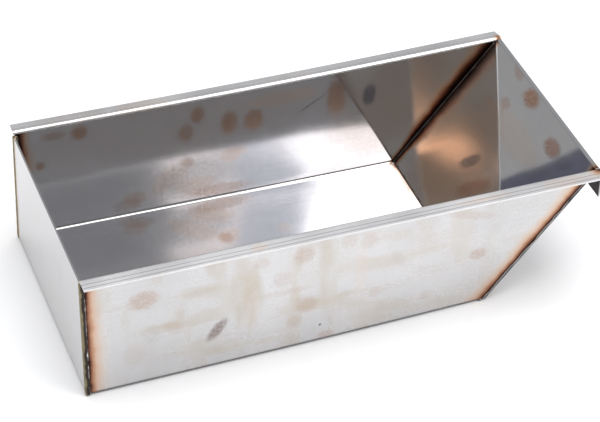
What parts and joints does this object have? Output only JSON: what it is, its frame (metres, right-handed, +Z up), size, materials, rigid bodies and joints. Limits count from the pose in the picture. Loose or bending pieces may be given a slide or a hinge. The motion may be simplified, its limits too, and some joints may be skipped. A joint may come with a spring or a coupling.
{
  "type": "drywall mud pan",
  "caption": "Long open stainless pan with one upright end, one sloped end with a rolled lip, flanged long rims and welded corners.",
  "frame": {"origin": "middle of the bounding box, at the level that the pan stands on", "axes": "+X from the upright end to the sloped end, +Y from the front wall to the back wall, +Z up"},
  "size_m": [0.3556, 0.178, 0.0933],
  "materials": {
    "stainless_sheet": "bright mill-finish stainless sheet with fine rolling grain, finger marks and heat tint beside the welds",
    "weld_bead": "rippled weld bead, oxidised dark grey and olive brown"
  },
  "bodies": {
    "root": {"floor_panel": "stainless_sheet", "upright_end": "stainless_sheet", "sloped_end": "stainless_sheet", "rolled_lip": "stainless_sheet", "front_wall": "stainless_sheet", "front_flange": "stainless_sheet", "back_wall": "stainless_sheet", "back_flange": "stainless_sheet", "upright_weld_front": "weld_bead", "upright_weld_back": "weld_bead", "slope_weld_front": "weld_bead", "slope_weld_back": "weld_bead", "rim_weld_front": "weld_bead", "rim_weld_back": "weld_bead", "corner_spot_front_upright": "weld_bead", "corner_spot_front_sloped": "weld_bead", "corner_spot_back_upright": "weld_bead", "corner_spot_back_sloped": "weld_bead"}
  },
  "joints": []
}
